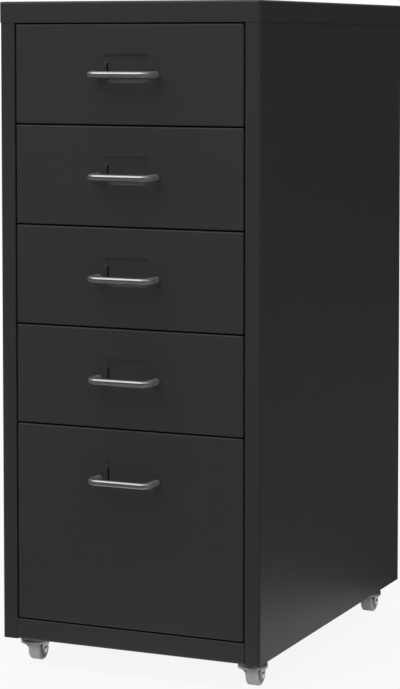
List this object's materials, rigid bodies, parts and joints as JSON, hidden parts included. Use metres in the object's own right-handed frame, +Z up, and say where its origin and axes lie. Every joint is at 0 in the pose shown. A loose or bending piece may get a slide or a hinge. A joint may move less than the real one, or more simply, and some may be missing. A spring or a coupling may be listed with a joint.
{
  "type": "rolling drawer cabinet",
  "caption": "Narrow sheet-steel drawer cabinet on swivel casters: small drawers over a tall bottom drawer, each with a bent-rod handle and a pressed label recess.",
  "frame": {"origin": "on the floor under the middle of the whole object, handles and screw heads counted", "axes": "+Z up, the drawer fronts face -Y, +X to the right as seen from the front"},
  "size_m": [0.2886, 0.446, 0.686],
  "materials": {
    "carcass_paint": "dark grey powder coat, satin, fine texture",
    "drawer_paint": "dark grey powder coat, satin, fine texture",
    "runner_zinc": "zinc-plated sheet, semi-bright",
    "fastener_zinc": "bright zinc plate",
    "handle_plated": "satin nickel plate",
    "caster_zinc": "zinc-plated pressing",
    "wheel_grey": "moulded light grey, matte"
  },
  "bodies": {
    "carcass": {"top_panel": "carcass_paint", "left_side_panel": "carcass_paint", "right_side_panel": "carcass_paint", "back_panel": "carcass_paint", "base_panel": "carcass_paint", "left_runners": "runner_zinc", "right_runners": "runner_zinc", "carcass_screws": "fastener_zinc", "caster_screws": "fastener_zinc", "caster_nuts": "fastener_zinc", "caster_kingpins": "fastener_zinc", "caster_balls": "fastener_zinc", "caster_front_left_plate": "caster_zinc", "caster_front_right_plate": "caster_zinc", "caster_rear_left_plate": "caster_zinc", "caster_rear_right_plate": "caster_zinc"},
    "drawer_1": {"drawer_1_front": "drawer_paint", "drawer_1_tray": "drawer_paint", "drawer_1_back": "drawer_paint", "drawer_1_rivets": "fastener_zinc", "drawer_1_handle": "handle_plated", "drawer_1_handle_screws": "fastener_zinc"},
    "drawer_2": {"drawer_2_front": "drawer_paint", "drawer_2_tray": "drawer_paint", "drawer_2_back": "drawer_paint", "drawer_2_rivets": "fastener_zinc", "drawer_2_handle": "handle_plated", "drawer_2_handle_screws": "fastener_zinc"},
    "drawer_3": {"drawer_3_front": "drawer_paint", "drawer_3_tray": "drawer_paint", "drawer_3_back": "drawer_paint", "drawer_3_rivets": "fastener_zinc", "drawer_3_handle": "handle_plated", "drawer_3_handle_screws": "fastener_zinc"},
    "drawer_4": {"drawer_4_front": "drawer_paint", "drawer_4_tray": "drawer_paint", "drawer_4_back": "drawer_paint", "drawer_4_rivets": "fastener_zinc", "drawer_4_handle": "handle_plated", "drawer_4_handle_screws": "fastener_zinc"},
    "drawer_5": {"drawer_5_front": "drawer_paint", "drawer_5_tray": "drawer_paint", "drawer_5_back": "drawer_paint", "drawer_5_rivets": "fastener_zinc", "drawer_5_handle": "handle_plated", "drawer_5_handle_screws": "fastener_zinc"},
    "front_left_swivel": {"caster_front_left_fork": "caster_zinc", "caster_front_left_axle": "fastener_zinc"},
    "front_left_wheel": {"caster_front_left_wheel": "wheel_grey"},
    "front_right_swivel": {"caster_front_right_fork": "caster_zinc", "caster_front_right_axle": "fastener_zinc"},
    "front_right_wheel": {"caster_front_right_wheel": "wheel_grey"},
    "rear_left_swivel": {"caster_rear_left_fork": "caster_zinc", "caster_rear_left_axle": "fastener_zinc"},
    "rear_left_wheel": {"caster_rear_left_wheel": "wheel_grey"},
    "rear_right_swivel": {"caster_rear_right_fork": "caster_zinc", "caster_rear_right_axle": "fastener_zinc"},
    "rear_right_wheel": {"caster_rear_right_wheel": "wheel_grey"}
  },
  "joints": [
    {"name": "drawer_1_slide", "type": "slide", "parent": "carcass", "child": "drawer_1", "axis": [0, -1, 0], "range_m": [0, 0.3]},
    {"name": "drawer_2_slide", "type": "slide", "parent": "carcass", "child": "drawer_2", "axis": [0, -1, 0], "range_m": [0, 0.3]},
    {"name": "drawer_3_slide", "type": "slide", "parent": "carcass", "child": "drawer_3", "axis": [0, -1, 0], "range_m": [0, 0.3]},
    {"name": "drawer_4_slide", "type": "slide", "parent": "carcass", "child": "drawer_4", "axis": [0, -1, 0], "range_m": [0, 0.3]},
    {"name": "drawer_5_slide", "type": "slide", "parent": "carcass", "child": "drawer_5", "axis": [0, -1, 0], "range_m": [0, 0.3]},
    {"name": "front_left_swivel_turn", "type": "hinge", "parent": "carcass", "child": "front_left_swivel", "pos_m": [-0.123, -0.16355, 0.025], "axis": [0, 0, 1], "continuous": true},
    {"name": "front_left_wheel_roll", "type": "hinge", "parent": "front_left_swivel", "child": "front_left_wheel", "pos_m": [-0.123, -0.15705, 0.011], "axis": [1, 0, 0], "continuous": true},
    {"name": "front_right_swivel_turn", "type": "hinge", "parent": "carcass", "child": "front_right_swivel", "pos_m": [0.123, -0.16355, 0.025], "axis": [0, 0, 1], "continuous": true},
    {"name": "front_right_wheel_roll", "type": "hinge", "parent": "front_right_swivel", "child": "front_right_wheel", "pos_m": [0.123, -0.15705, 0.011], "axis": [1, 0, 0], "continuous": true},
    {"name": "rear_left_swivel_turn", "type": "hinge", "parent": "carcass", "child": "rear_left_swivel", "pos_m": [-0.123, 0.17345, 0.025], "axis": [0, 0, 1], "continuous": true},
    {"name": "rear_left_wheel_roll", "type": "hinge", "parent": "rear_left_swivel", "child": "rear_left_wheel", "pos_m": [-0.123, 0.17995, 0.011], "axis": [1, 0, 0], "continuous": true},
    {"name": "rear_right_swivel_turn", "type": "hinge", "parent": "carcass", "child": "rear_right_swivel", "pos_m": [0.123, 0.17345, 0.025], "axis": [0, 0, 1], "continuous": true},
    {"name": "rear_right_wheel_roll", "type": "hinge", "parent": "rear_right_swivel", "child": "rear_right_wheel", "pos_m": [0.123, 0.17995, 0.011], "axis": [1, 0, 0], "continuous": true}
  ]
}
